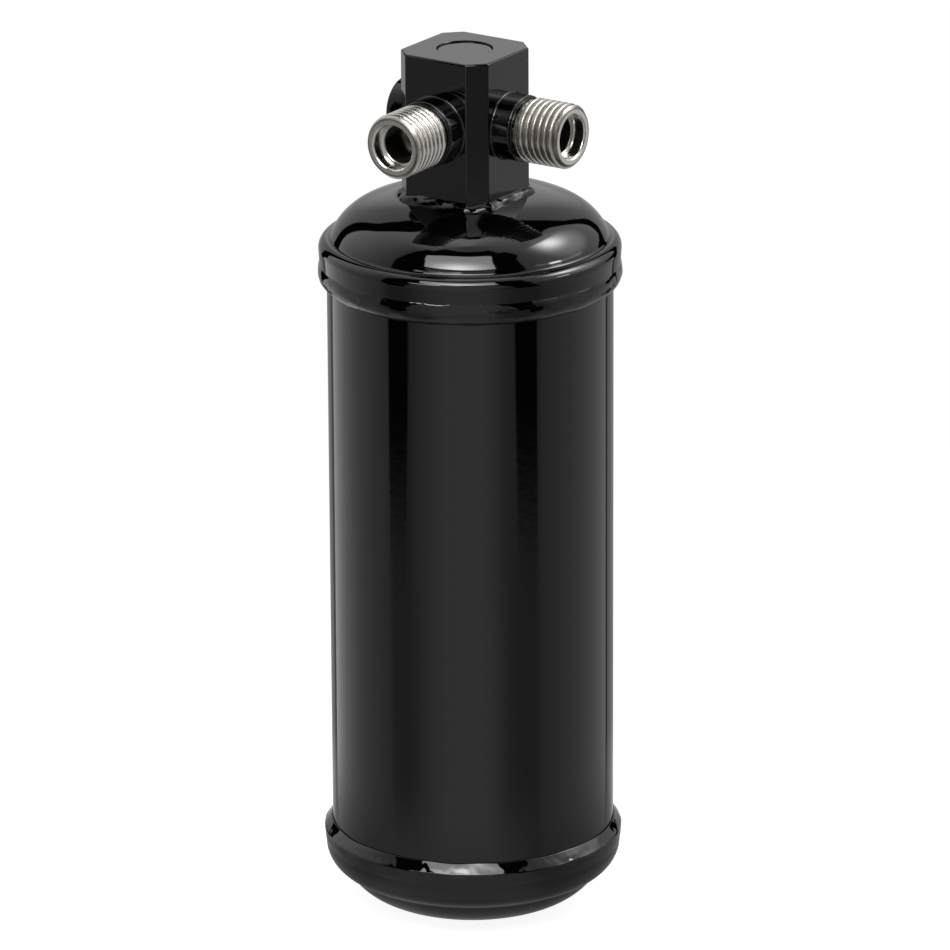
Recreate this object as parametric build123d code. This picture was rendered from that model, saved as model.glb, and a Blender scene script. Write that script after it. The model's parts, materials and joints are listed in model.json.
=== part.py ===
from build123d import *
from math import acos, asin, atan2, cos, degrees, radians, sin, sqrt, tan
import os

# Receiver drier: a sealed steel canister that stands on the flat of its lower cap.
# Lengths are in millimetres. Z runs up the body's axis and z = 0 is the flat of the base.
# The inlet port leaves the head block towards -Y, the outlet port towards +X.

# Body tube
tube_od = 69.85
tube_wall = 2.0
tube_length = 153.2
lap_clearance = 0.05
tube_end_gap = 0.4

# Both caps are pressed alike: skirt, shoulder, crease, then a dome with a knuckle and a crown.
# An angle says how far the surface's outward normal has turned up from level.
cap_wall = 1.6
crease_fillet = 1.1
knuckle_r = 14.0
knuckle_end = 66.0

# Lower cap, with a flat to stand on
lower_skirt = 4.13
lower_skirt_draft = 0.0
lower_shoulder_r = 6.9
lower_shoulder_end = 69.0
lower_dome_start = 31.0
lower_crown_r = 65.0
base_flat_r = 15.0

# Upper cap, with a flat seat and a hole for the head block; its skirt narrows to the rim
upper_skirt = 5.27
upper_skirt_draft = 3.5
upper_shoulder_r = 2.6
upper_shoulder_end = 82.0
upper_dome_start = 24.0
upper_crown_r = 40.0
head_seat_r = 13.0

# Girth welds: the bead covers the skirt's edge and runs down onto the tube
lower_bead_bulge = 0.4
upper_bead_bulge = 0.7
bead_on_skirt = 1.5
bead_crown = 0.4
bead_on_tube = 4.3

# Head block and what closes it; it is welded on slightly off the body's axis
head_shift_x = -0.85
head_shift_y = -0.55
block_side = 25.4
block_height = 36.03
block_chamfer = 3.95
block_edge_break = 0.3
spigot_r = 11.5
spigot_length = 4.0
spigot_clearance = 0.05
port_drop = 17.4
riser_r = 3.0
riser_socket = 13.0
head_weld_leg = 2.2
head_weld_toe = 0.1
plug_r = 6.8
plug_thickness = 4.0
plug_recess = 0.35
press_gap = 0.02

# Side plug that blanks the third cross hole
side_plug_r = 7.6
side_plug_head = 5.5
side_passage_r = 2.0

# Inlet and outlet ports: turned fittings brazed into the block
thread_od = 15.875
shank_od = 16.3
shank_length = 5.2
relief_od = 14.6
relief_length = 2.0
port_length = 18.4
end_chamfer = 0.9
edge_chamfer = 0.4
pilot_r = 5.4
pilot_depth = 3.2
bore_r = 4.5
bore_depth = 11.9
throat_r = 3.8
port_spigot_r = 5.5
port_spigot_length = 3.2
braze_leg = 0.45

# Inlet drilling inside the block
inlet_drop_r = 2.7
inlet_web = 0.9

# Pickup tube and its strainer
pickup_od = 7.94
pickup_wall = 0.9
pickup_clearance = 0.05
pickup_floor_gap = 3.0
strainer_r = 8.0
strainer_wall = 0.8
strainer_flange_r = 10.0
strainer_slot_width = 2.0
strainer_slots = 8
strainer_floor_gap = 0.3

# Desiccant stack
stack_clearance = 0.2
plate_thickness = 1.2
plate_rim = 4.0
plate_hole_r = 2.5
inner_ring_r = 13.0
inner_ring_holes = 8
outer_ring_r = 23.5
outer_ring_holes = 12
pad_thickness = 5.0
desiccant_length = 98.0
hole_clearance = 0.15

# Spring of square wire between the upper plate and the head seat
spring_wire = 2.0
spring_turns = 4.5
spring_base_r = 25.0
spring_inner_gap = 0.6
spring_seat_gap = 0.6
spring_ground = 0.3

tube_r = tube_od / 2
shell_r = tube_r - tube_wall
lap_r = tube_r + lap_clearance


def along(point, angle, distance):
    """Point at a distance from another, in the direction of an angle."""
    return point[0] + distance * cos(radians(angle)), point[1] + distance * sin(radians(angle))


class PressedCap:
    """Cap with its dome up and z = 0 where the skirt turns into the shoulder.

    The section is a chain of tangent arcs: shoulder, crease, knuckle and crown, then a flat.
    """

    def __init__(self, skirt, draft, shoulder_r, shoulder_end, dome_start, crown_r, flat_r):
        skirt_r = lap_r + cap_wall + skirt * tan(radians(draft))
        self.skirt = skirt
        self.draft = draft
        self.shoulder_r = shoulder_r
        self.shoulder_end = shoulder_end
        self.dome_start = dome_start
        self.crown_r = crown_r
        self.shoulder_centre = (skirt_r - shoulder_r, 0)
        self.crease_centre = along(self.shoulder_centre, shoulder_end, shoulder_r + crease_fillet)
        self.knuckle_centre = along(self.crease_centre, dome_start, -crease_fillet - knuckle_r)
        self.crown_centre = along(self.knuckle_centre, knuckle_end, knuckle_r - crown_r)
        flat_angle = acos((flat_r - self.crown_centre[0]) / crown_r)
        self.height = self.crown_centre[1] + crown_r * sin(flat_angle)

    def dome(self, inset):
        """Edges from the crease to the axis, set in from the outside."""
        start = self.dome_start
        crown_r = self.crown_r - inset
        top = self.height - inset
        end = asin((top - self.crown_centre[1]) / crown_r)
        flat_r = self.crown_centre[0] + crown_r * cos(end)
        return [
            CenterArc(self.crease_centre, crease_fillet + inset, 180 + start,
                      self.shoulder_end - start),
            CenterArc(self.knuckle_centre, knuckle_r - inset, start, knuckle_end - start),
            CenterArc(self.crown_centre, crown_r, knuckle_end, degrees(end) - knuckle_end),
            Line((flat_r, top), (0, top)),
        ]

    def bend(self, inset):
        """Where the straight skirt runs into the shoulder."""
        return along(self.shoulder_centre, -self.draft, self.shoulder_r - inset)

    def rim_r(self, inset, above=0):
        """Radius of the skirt at a height above its rim."""
        radius, level = self.bend(inset)
        return radius - (level + self.skirt - above) * tan(radians(self.draft))

    def side(self, inset):
        """Edges from the skirt's rim to the crease, set in from the outside."""
        return [
            Line((self.rim_r(inset), -self.skirt), self.bend(inset)),
            CenterArc(self.shoulder_centre, self.shoulder_r - inset, -self.draft,
                      self.shoulder_end + self.draft),
        ]

    def sheet(self):
        """The cap itself: the outside, and the inside one wall further in."""
        rim = Line((self.rim_r(0), -self.skirt), (self.rim_r(cap_wall), -self.skirt))
        middle = Line((0, self.height), (0, self.height - cap_wall))
        outside = self.side(0) + self.dome(0)
        inside = self.side(cap_wall) + self.dome(cap_wall)
        return turned(outside + inside + [rim, middle])

    def core(self):
        """The outer form filled solid, down to the rim."""
        rim = Line((self.rim_r(0), -self.skirt), (0, -self.skirt))
        middle = Line((0, self.height), (0, -self.skirt))
        return turned(self.side(0) + self.dome(0) + [rim, middle])


lower_form = PressedCap(lower_skirt, lower_skirt_draft, lower_shoulder_r, lower_shoulder_end,
                        lower_dome_start, lower_crown_r, base_flat_r)
upper_form = PressedCap(upper_skirt, upper_skirt_draft, upper_shoulder_r, upper_shoulder_end,
                        upper_dome_start, upper_crown_r, head_seat_r)

# Levels, from the base up
lower_shoulder_z = lower_form.height
tube_bottom = lower_shoulder_z + tube_end_gap
lower_edge_z = lower_shoulder_z + lower_skirt
tube_top = tube_bottom + tube_length
upper_shoulder_z = tube_top + tube_end_gap
upper_edge_z = upper_shoulder_z - upper_skirt
head_seat_z = upper_shoulder_z + upper_form.height
block_top = head_seat_z + block_height
port_z = block_top - port_drop
spigot_bottom = head_seat_z - spigot_length
riser_step_z = spigot_bottom + riser_socket

pickup_r = pickup_od / 2
half_side = block_side / 2
head = Pos(head_shift_x, head_shift_y, 0)


def turned(profile):
    """Solid turned about Z from a closed profile drawn as (radius, height)."""
    return revolve(Plane.XZ * make_face(profile), Axis.Z)


def tube(outer_r, inner_r, low, high):
    """Upright tube between two levels."""
    wall = Circle(outer_r) - Circle(inner_r)
    return Pos(0, 0, low) * extrude(wall, high - low)


def disc(radius, low, high):
    """Upright solid cylinder between two levels."""
    return Pos(0, 0, low) * extrude(Circle(radius), high - low)


def make_lower_cap():
    """Cap over the tube's foot, dome down."""
    return Pos(0, 0, lower_shoulder_z) * (Rot(180, 0, 0) * lower_form.sheet())


def make_upper_cap():
    """Cap over the tube's top, with the hole for the block's spigot."""
    hole = disc(spigot_r + spigot_clearance, spigot_bottom, block_top)
    return Pos(0, 0, upper_shoulder_z) * upper_form.sheet() - head * hole


def girth_bead(cap, bulge):
    """Weld bead, skirt above and tube below, with z = 0 at the skirt's rim."""
    crown_r = cap.rim_r(0) + bulge
    drop = crown_r - tube_r
    sweep_r = (drop ** 2 + bead_on_tube ** 2) / (2 * drop)
    sweep_angle = degrees(asin(bead_on_tube / sweep_r))
    profile = [
        Line((cap.rim_r(0, bead_on_skirt), bead_on_skirt), (cap.rim_r(0), 0)),
        Line((cap.rim_r(0), 0), (tube_r, 0)),
        Line((tube_r, 0), (tube_r, -bead_crown - bead_on_tube)),
        CenterArc((crown_r - sweep_r, -bead_crown), sweep_r, -sweep_angle, sweep_angle),
        TangentArc((crown_r, -bead_crown), (cap.rim_r(0, bead_on_skirt), bead_on_skirt),
                   tangent=(0, 1)),
    ]
    return turned(profile)


def make_upper_weld():
    return Pos(0, 0, upper_edge_z) * girth_bead(upper_form, upper_bead_bulge)


def make_lower_weld():
    return Pos(0, 0, lower_edge_z) * (Rot(180, 0, 0) * girth_bead(lower_form, lower_bead_bulge))


def make_body_tube():
    return tube(tube_r, shell_r, tube_bottom, tube_top)


def block_outline(side, chamfer_leg):
    """Square with its four corners cut off."""
    return chamfer(Rectangle(side, side).vertices(), chamfer_leg)


def make_head_block():
    """Square bar with a spigot below, a riser up its middle and three cross holes."""
    outline = block_outline(block_side, block_chamfer)
    block = Pos(0, 0, head_seat_z) * extrude(outline, block_height)
    block = chamfer(block.faces().sort_by(Axis.Z)[-1].edges(), block_edge_break)
    block += disc(spigot_r, spigot_bottom, head_seat_z)
    block -= disc(riser_r, spigot_bottom, block_top)
    block -= disc(pickup_r + pickup_clearance, spigot_bottom, riser_step_z)
    block -= disc(plug_r + press_gap, block_top - plug_recess - plug_thickness, block_top)
    block -= inlet_drilling()
    block -= outlet_drilling()
    block -= side_drilling()
    return head * block


def cross_hole(radius, depth):
    """Hole along -Z from a face at z = 0."""
    return disc(radius, -depth, 0)


def at_inlet(solid):
    """Turns a solid drawn along Z to stand out of the block's front face."""
    return Pos(0, -half_side, port_z) * (Rot(90, 0, 0) * solid)


def at_outlet(solid):
    """The same, out of the right-hand face."""
    return Pos(half_side, 0, port_z) * (Rot(0, 90, 0) * solid)


def at_side(solid):
    """The same, out of the left-hand face."""
    return Pos(-half_side, 0, port_z) * (Rot(0, -90, 0) * solid)


def inlet_drilling():
    """Socket and short cross hole that turn down beside the riser and leave through the spigot."""
    drop_y = pickup_r + pickup_clearance + inlet_web + inlet_drop_r
    socket = cross_hole(port_spigot_r + press_gap, port_spigot_length)
    reach = half_side - drop_y + inlet_drop_r
    across = cross_hole(throat_r, reach)
    down = Pos(0, -drop_y, 0) * disc(inlet_drop_r, spigot_bottom, port_z)
    return at_inlet(socket + across) + down


def outlet_drilling():
    """Socket and cross hole that open into the riser."""
    socket = cross_hole(port_spigot_r + press_gap, port_spigot_length)
    return at_outlet(socket + cross_hole(throat_r, half_side))


def side_drilling():
    """Third cross hole, the one that the side plug blanks."""
    socket = cross_hole(port_spigot_r + press_gap, port_spigot_length)
    return at_side(socket + cross_hole(side_passage_r, half_side))


def make_head_weld():
    """Fillet weld round the block's foot; it fills the wedge over the falling dome."""
    foot = block_outline(block_side + 2 * head_weld_leg, block_chamfer + head_weld_leg)
    waist = block_outline(block_side + 2 * head_weld_toe, block_chamfer)
    low = head_seat_z - head_weld_leg
    high = head_seat_z + head_weld_leg
    bead = loft([Pos(0, 0, head_seat_z) * foot, Pos(0, 0, high) * waist])
    bead += Pos(0, 0, low) * extrude(foot, head_weld_leg)
    bead -= Pos(0, 0, low) * extrude(block_outline(block_side, block_chamfer), 2 * head_weld_leg)
    return head * bead - Pos(0, 0, upper_shoulder_z) * upper_form.core()


def make_top_plug():
    """Disc pressed into the top of the riser, just below the block's top."""
    low = block_top - plug_recess - plug_thickness
    plug = disc(plug_r, low, low + plug_thickness)
    return head * chamfer(plug.edges().group_by(Axis.Z)[-1], block_edge_break)


def make_side_plug():
    """Round plug with a broad head, pressed and brazed into its socket."""
    plug = disc(side_plug_r, 0, side_plug_head)
    plug = chamfer(plug.edges().group_by(Axis.Z)[-1], edge_chamfer)
    plug += disc(port_spigot_r, -port_spigot_length + press_gap, 0)
    return head * at_side(plug)


def port_solid():
    """Turned port, axis along Z, with z = 0 at the block's face."""
    thread_r = thread_od / 2
    shank_r = shank_od / 2
    relief_r = relief_od / 2
    thread_start = shank_length + relief_length
    outside = Polyline(
        (throat_r, -port_spigot_length), (port_spigot_r, -port_spigot_length),
        (port_spigot_r, 0), (shank_r, 0),
        (shank_r, shank_length - edge_chamfer), (shank_r - edge_chamfer, shank_length),
        (relief_r, shank_length), (relief_r, thread_start - (thread_r - relief_r)),
        (thread_r, thread_start), (thread_r, port_length - end_chamfer),
        (thread_r - end_chamfer, port_length), (pilot_r + edge_chamfer, port_length),
        (pilot_r, port_length - edge_chamfer), (pilot_r, port_length - pilot_depth),
        (bore_r, port_length - pilot_depth), (bore_r, port_length - bore_depth),
        (throat_r, port_length - bore_depth), (throat_r, -port_spigot_length))
    return turned(outside)


def braze_ring():
    """Fillet of braze round a port's shank, on the block's face."""
    shank_r = shank_od / 2
    return turned([Polyline((shank_r, 0), (shank_r + braze_leg, 0), (shank_r, braze_leg),
                            (shank_r, 0))])


def make_inlet_port():
    return head * at_inlet(port_solid())


def make_outlet_port():
    return head * at_outlet(port_solid())


def make_inlet_braze():
    return head * at_inlet(braze_ring())


def make_outlet_braze():
    return head * at_outlet(braze_ring())


# Levels of the desiccant stack, from the plate that rests on the lower cap's shoulder
stack_r = shell_r - stack_clearance
seat_centre_r = lower_form.shoulder_centre[0]
seat_drop = sqrt((lower_shoulder_r - cap_wall) ** 2 - (stack_r - seat_centre_r) ** 2)
lower_plate_z = lower_shoulder_z - seat_drop + stack_clearance
lower_pad_z = lower_plate_z + plate_thickness
desiccant_z = lower_pad_z + pad_thickness
upper_pad_z = desiccant_z + desiccant_length
upper_plate_z = upper_pad_z + pad_thickness
strainer_z = cap_wall + strainer_floor_gap
pickup_end_z = strainer_z + strainer_wall + pickup_floor_gap


def stack_piece(low, thickness):
    """Round pad or charge with a hole for the pickup tube."""
    hole = head * disc(pickup_r + hole_clearance, low, low + thickness)
    return disc(stack_r, low, low + thickness) - hole


def perforated_plate(low):
    """Pressed plate with a turned-up rim and rings of holes."""
    plate = stack_piece(low, plate_thickness)
    for ring_r, count in ((inner_ring_r, inner_ring_holes), (outer_ring_r, outer_ring_holes)):
        for spot in PolarLocations(ring_r, count):
            plate -= spot * disc(plate_hole_r, low, low + plate_thickness)
    rim = tube(stack_r, stack_r - plate_thickness, low + plate_thickness, low + plate_rim)
    return plate + rim


def make_lower_plate():
    """It rests on the lower cap's shoulder and carries the stack."""
    return perforated_plate(lower_plate_z)


def make_lower_pad():
    """Pad with its edge cut back to lie inside the lower plate's rim."""
    pad = stack_piece(lower_pad_z, pad_thickness)
    step = tube(stack_r, stack_r - plate_thickness - stack_clearance,
                lower_pad_z, lower_plate_z + plate_rim + stack_clearance)
    return pad - step


def make_desiccant():
    return stack_piece(desiccant_z, desiccant_length)


def make_upper_pad():
    return stack_piece(upper_pad_z, pad_thickness)


def make_upper_plate():
    return perforated_plate(upper_plate_z)


def make_pickup_tube():
    return head * tube(pickup_r, pickup_r - pickup_wall, pickup_end_z, riser_step_z)


def make_strainer():
    """Slotted cup under the lower plate, hung by its flange."""
    cup = disc(strainer_r, strainer_z, lower_plate_z)
    cup -= disc(strainer_r - strainer_wall, strainer_z + strainer_wall, lower_plate_z)
    cup += tube(strainer_flange_r, strainer_r - strainer_wall,
                lower_plate_z - strainer_wall, lower_plate_z)
    slot_low = strainer_z + 2 * strainer_wall
    slot_height = lower_plate_z - 2 * strainer_wall - slot_low
    slot = Pos(strainer_r, 0, slot_low + slot_height / 2) * Box(
        4 * strainer_wall, strainer_slot_width, slot_height)
    for spot in PolarLocations(0, strainer_slots):
        cup -= spot * slot
    return head * cup


def make_spring():
    """Conical spring: wide coil on the upper plate, small coil round the block's spigot."""
    half = spring_wire / 2
    top_r = spigot_r + spring_inner_gap + half
    low = upper_plate_z + plate_thickness
    high = head_seat_z - cap_wall - spring_seat_gap
    height = high - low - spring_wire + 2 * spring_ground
    cone = degrees(atan2(spring_base_r - top_r, height))
    path = Helix(height / spring_turns, height, spring_base_r, cone_angle=-cone)
    section = Plane(origin=path @ 0, x_dir=(1, 0, 0), z_dir=path % 0) * Rectangle(
        spring_wire, spring_wire)
    coil = Pos(0, 0, low + half - spring_ground) * sweep(section, path=path, is_frenet=True)
    return head * (coil & disc(shell_r, low, high))


makers = {
    "body_tube": make_body_tube,
    "lower_cap": make_lower_cap,
    "upper_cap": make_upper_cap,
    "lower_girth_weld": make_lower_weld,
    "upper_girth_weld": make_upper_weld,
    "head_block": make_head_block,
    "head_weld": make_head_weld,
    "top_plug": make_top_plug,
    "side_plug": make_side_plug,
    "inlet_port": make_inlet_port,
    "outlet_port": make_outlet_port,
    "inlet_braze": make_inlet_braze,
    "outlet_braze": make_outlet_braze,
    "pickup_tube": make_pickup_tube,
    "pickup_strainer": make_strainer,
    "lower_plate": make_lower_plate,
    "lower_pad": make_lower_pad,
    "desiccant": make_desiccant,
    "upper_pad": make_upper_pad,
    "upper_plate": make_upper_plate,
    "spring": make_spring,
}

os.makedirs("parts", exist_ok=True)
for name, make in makers.items():
    solid = make()
    export_step(solid, f"parts/{name}.step")
    box = solid.bounding_box()
    print(name, round(solid.volume), tuple(round(v, 2) for v in (*box.min, *box.max)))
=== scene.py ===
# %% [markdown]
# # A receiver drier, dressed
#
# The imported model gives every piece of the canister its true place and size. This lesson adds
# what makes it look real: paint that runs smoothly over the pressings, weld beads that are a
# little uneven, cut threads, and the surfaces of the hidden filter pieces.

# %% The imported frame
import json
import math

import bmesh
import bpy
import numpy as np
from mathutils import Matrix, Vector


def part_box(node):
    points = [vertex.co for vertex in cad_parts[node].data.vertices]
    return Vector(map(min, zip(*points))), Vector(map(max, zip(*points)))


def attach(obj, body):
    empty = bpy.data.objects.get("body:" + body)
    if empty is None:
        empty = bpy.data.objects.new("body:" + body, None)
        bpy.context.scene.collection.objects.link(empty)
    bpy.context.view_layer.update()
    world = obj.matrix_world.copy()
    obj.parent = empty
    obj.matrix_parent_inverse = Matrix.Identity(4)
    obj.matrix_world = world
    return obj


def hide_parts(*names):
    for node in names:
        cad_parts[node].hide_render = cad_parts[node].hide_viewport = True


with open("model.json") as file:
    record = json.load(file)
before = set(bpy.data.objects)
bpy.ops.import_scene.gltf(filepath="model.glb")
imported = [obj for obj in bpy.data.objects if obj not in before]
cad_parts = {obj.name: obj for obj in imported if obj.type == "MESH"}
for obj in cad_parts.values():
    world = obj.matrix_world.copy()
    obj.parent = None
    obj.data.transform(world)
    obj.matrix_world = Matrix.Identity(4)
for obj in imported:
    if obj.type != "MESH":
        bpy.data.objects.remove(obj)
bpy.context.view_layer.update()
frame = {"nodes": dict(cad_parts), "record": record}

# %% [markdown]
# ## Measuring the CAD
#
# Each new surface stands in for a node, so its sizes are read from that node's box wherever
# they can be. Work is done in millimetres and turned to metres once, when a mesh is made.

# %% Boxes in millimetres
MM = 0.001


def box_mm(node):
    """Lowest and highest corner of a node, in millimetres."""
    return [np.array(corner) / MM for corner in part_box(node)]


tube_low, tube_high = box_mm("body_tube")
lower_low, lower_high = box_mm("lower_cap")
upper_low, upper_high = box_mm("upper_cap")
block_low, block_high = box_mm("head_block")
tube_r = tube_high[0]
lower_skirt_r = lower_high[0]
upper_skirt_r = upper_high[0]
lower_edge = lower_high[2]
upper_edge = upper_low[2]
head_x, head_y = (block_low[:2] + block_high[:2]) / 2
half_side = (block_high[0] - block_low[0]) / 2
port_low, port_high = box_mm("outlet_port")
port_z = (port_low[2] + port_high[2]) / 2
block_top = block_high[2]
head_seat = upper_high[2]
print("tube radius", round(tube_r, 3), "block centre", round(head_x, 2), round(head_y, 2))
print("port height", round(port_z, 3), "head seat", round(head_seat, 3))

# %% [markdown]
# ## Surfaces from arrays
#
# A turned or pressed part is a section swept round an axis, so it can be made by a Spin or
# Screw modifier, or worked out as a grid. The grid is used here: rows run along the section,
# columns run round the axis, and because the radius may depend on both, the same few lines
# make a smooth dome, a lumpy weld and a screw thread. Points that fall together at a pole are
# merged, and the signed volume tells whether the faces look outwards.

# %% From grid to mesh
SAME_POINT = 1e-7  # metres between points that are one


def skin(name, grid, close_rows=False, sharp=35.0):
    """Mesh from a grid of points, rows x columns x 3, in millimetres.

    Columns always close on themselves; rows do if asked, as in a tube with a wall."""
    rows, columns = grid.shape[:2]
    number = np.arange(rows * columns).reshape(rows, columns)
    if close_rows:
        number = np.vstack([number, number[:1]])
    number = np.hstack([number, number[:, :1]])
    faces = np.stack([number[:-1, :-1], number[:-1, 1:], number[1:, 1:], number[1:, :-1]], -1)
    mesh = bpy.data.meshes.new(name)
    mesh.from_pydata((grid.reshape(-1, 3) * MM).tolist(), [], faces.reshape(-1, 4).tolist())
    work = bmesh.new()
    work.from_mesh(mesh)
    bmesh.ops.remove_doubles(work, verts=work.verts, dist=SAME_POINT)
    if work.calc_volume(signed=True) < 0:
        bmesh.ops.reverse_faces(work, faces=work.faces)
    work.to_mesh(mesh)
    work.free()
    mesh.shade_smooth()
    mesh.set_sharp_from_angle(angle=math.radians(sharp))
    piece = bpy.data.objects.new(name, mesh)
    bpy.context.collection.objects.link(piece)
    print(name, len(mesh.polygons), "faces")
    return piece


def place(piece, material, slot, *nodes):
    """Gives a piece its material, hangs it under the root and hides the nodes that it replaces."""
    piece.data.materials.append(material)
    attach(piece, "root")
    if nodes:
        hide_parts(*nodes)
    return piece


# %% Lines and arcs of a section
COLUMNS = 384  # round a large turned piece


def arc(centre, radius, start, end, steps):
    """Points on a circle between two angles in degrees, counted from level."""
    turn = np.radians(np.linspace(start, end, steps))
    return np.c_[centre[0] + radius * np.cos(turn), centre[1] + radius * np.sin(turn)]


def line(start, end, steps=2):
    """Points on a straight line, both ends included."""
    return np.linspace(start, end, steps)


def revolve(section, steps=COLUMNS):
    """A section of (radius, height) turned round Z: x = r cos a, y = r sin a, z = height."""
    turn = np.linspace(0, 2 * np.pi, steps, endpoint=False)
    radius, height = section[:, 0, None], section[:, 1, None]
    return np.stack([radius * np.cos(turn), radius * np.sin(turn), height + 0 * turn], -1)


# %% [markdown]
# ## The body tube
#
# The body is a length of drawn tube. It hides nothing, so it is a plain closed section: up the
# outside, over the end, down the inside, with its ends broken by a small bevel.

# %% Body tube
tube_wall, rim, tube_rows = 2.0, 0.15, 24
low, high = tube_low[2], tube_high[2]
tube_section = np.vstack([
    line((tube_r, low + rim), (tube_r, high - rim), tube_rows), [(tube_r - rim, high)],
    [(tube_r - tube_wall, high)], [(tube_r - tube_wall, low)], [(tube_r - rim, low)]])
shell_tube = skin("shell_tube", revolve(tube_section), close_rows=True)

# %% [markdown]
# ## The pressed caps
#
# A press drives a disc of sheet over a former, so the section is a chain of tangent arcs:
# skirt, shoulder, a tight crease, then the dome's knuckle and crown, and a flat. Each arc
# starts where the last one ends, and the next centre is found by stepping along the normal
# that they share. The inside is the same chain one wall further in.

# %% Cap section
crease_fillet = 1.1
knuckle_r, knuckle_end = 14.0, 66.0
SKIRT_POINTS, ARC_POINTS, CREASE_POINTS = 4, 40, 20


def step(point, angle, distance):
    """Point at a distance from another, in the direction of an angle in degrees."""
    turn = math.radians(angle)
    return point[0] + distance * math.cos(turn), point[1] + distance * math.sin(turn)


def cap_side(inset, skirt_r, skirt, draft, shoulder_r, shoulder_end, dome_start, crown_r,
             flat_r):
    """Section of one side of a cap, from the rim to the edge of its flat; z = 0 at the shoulder."""
    shoulder = (skirt_r - shoulder_r, 0.0)
    bend = step(shoulder, -draft, shoulder_r - inset)
    rim_r = bend[0] - (bend[1] + skirt) * math.tan(math.radians(draft))
    crease = step(shoulder, shoulder_end, shoulder_r + crease_fillet)
    knuckle = step(crease, dome_start, -crease_fillet - knuckle_r)
    crown = step(knuckle, knuckle_end, knuckle_r - crown_r)
    flat_angle = math.acos((flat_r - crown[0]) / crown_r)
    flat_z = crown[1] + crown_r * math.sin(flat_angle)
    end = math.degrees(math.asin((flat_z - inset - crown[1]) / (crown_r - inset)))
    return np.vstack([
        line((rim_r, -skirt), bend, SKIRT_POINTS),
        arc(shoulder, shoulder_r - inset, -draft, shoulder_end, ARC_POINTS)[1:],
        arc(crease, crease_fillet + inset, 180 + shoulder_end, 180 + dome_start,
            CREASE_POINTS)[1:],
        arc(knuckle, knuckle_r - inset, dome_start, knuckle_end, ARC_POINTS)[1:],
        arc(crown, crown_r - inset, knuckle_end, end, ARC_POINTS)[1:]])


# %% Upper cap
cap_wall = 1.6
upper_form = dict(skirt_r=upper_skirt_r, skirt=5.27, draft=3.5, shoulder_r=2.6,
                  shoulder_end=82.0, dome_start=24.0, crown_r=40.0, flat_r=13.0)
spigot_hole_r = 11.55
upper_shoulder = upper_edge + upper_form["skirt"]


def holed(section, steps=COLUMNS):
    """A turned section whose last point spreads to the rim of a hole beside the axis."""
    grid = revolve(section + (0, upper_shoulder), steps)
    turn = np.linspace(0, 2 * np.pi, steps, endpoint=False)
    hole = np.stack([head_x + spigot_hole_r * np.cos(turn),
                     head_y + spigot_hole_r * np.sin(turn),
                     np.full(steps, grid[-1, 0, 2])], -1)
    return np.concatenate([grid, hole[None]])


upper_outside = holed(cap_side(0.0, **upper_form))
upper_inside = holed(cap_side(cap_wall, **upper_form))
dome_cap = skin("dome_cap", np.concatenate([upper_outside, upper_inside[::-1]]), close_rows=True)

# %% Lower cap
lower_form = dict(skirt_r=lower_skirt_r, skirt=4.13, draft=0.0, shoulder_r=6.9,
                  shoulder_end=69.0, dome_start=31.0, crown_r=65.0, flat_r=15.0)
lower_shoulder = lower_edge - lower_form["skirt"]
lower_outside = cap_side(0.0, **lower_form)
lower_inside = cap_side(cap_wall, **lower_form)
lower_section = np.vstack([
    [(0, lower_outside[-1, 1])], lower_outside[::-1], lower_inside, [(0, lower_inside[-1, 1])]])
foot_cap = skin("foot_cap", revolve(lower_section * (1, -1) + (0, lower_shoulder)))

# %% [markdown]
# ## Girth welds
#
# Each cap is joined to the tube by one pass of a welding torch while the body turns. Gravity
# pulls the soft metal down, so the two beads differ: the upper one hangs over the tube and the
# lower one lies on it as a bevel with a rolled edge. A section like that is easiest to say as
# a walk downhill: so far along, while the surface turns from facing this much up to that much.
# A sum of waves that close after one turn gives an unevenness with no seam.

# %% Unevenness that closes after one turn
def waves(turn, across, seed, low, high, count, lean=3.0):
    """Sum of cosines of (whole number x angle + slope x distance across), scaled to about 1."""
    random = np.random.default_rng(seed)
    total = 0.0
    for _ in range(count):
        order = random.integers(low, high)
        slope = random.uniform(-lean, lean)
        total = total + np.cos(order * turn + slope * across + random.uniform(0, 2 * np.pi))
    return total / math.sqrt(count / 2)


# %% Sections as a walk downhill
def downhill(start, *pieces, stride=0.07):
    """Points of a section from its top: each piece is (length, pitch at its start, pitch at its
    end), and for a pitch p the walk moves outwards by sin p and down by cos p."""
    points = [np.array(start, float)]
    for length, first, last in pieces:
        steps = max(2, round(length / stride))
        pitch = np.radians(first + (last - first) * (np.arange(steps) + 0.5) / steps)
        moves = np.c_[np.sin(pitch), -np.cos(pitch)] * length / steps
        points.extend(points[-1] + np.cumsum(moves, 0))
    return np.array(points)


# %% Beads
BEAD_COLUMNS = 1200
# in millimetres: height of lumps and ripples, sinking of the middle, wander of the edges
lump, ripple, sunk, edge_wander = 0.035, 0.007, 0.03, 0.07


def girth_bead(name, section, hidden, edge, seed):
    """Ring of weld with its shown section at a level, lumpy but for its two edges.

    Its radius is (section) x (1 + fade x lumps), and only its edges wander up and down."""
    shown = len(section)
    grid = revolve(np.vstack([section, hidden]) + (0, edge), BEAD_COLUMNS)
    turn = np.linspace(0, 2 * np.pi, BEAD_COLUMNS, endpoint=False)
    across = np.linspace(0, 1, shown)[:, None]
    fade = np.sin(np.pi * across) ** 0.7
    lumps = lump * waves(turn, across, seed, 7, 34, 14, 16.0)
    lumps = lumps + ripple * waves(turn, across, seed + 1, 50, 120, 16, 16.0)
    grid[:shown, :, :2] *= (1 + fade * (lumps - sunk) / tube_r)[..., None]
    grid[:shown, :, 2] += edge_wander * (1 - fade) * waves(turn, 0.0, seed + 2, 5, 26, 8)
    return skin(name, grid, close_rows=True, sharp=60)


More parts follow.
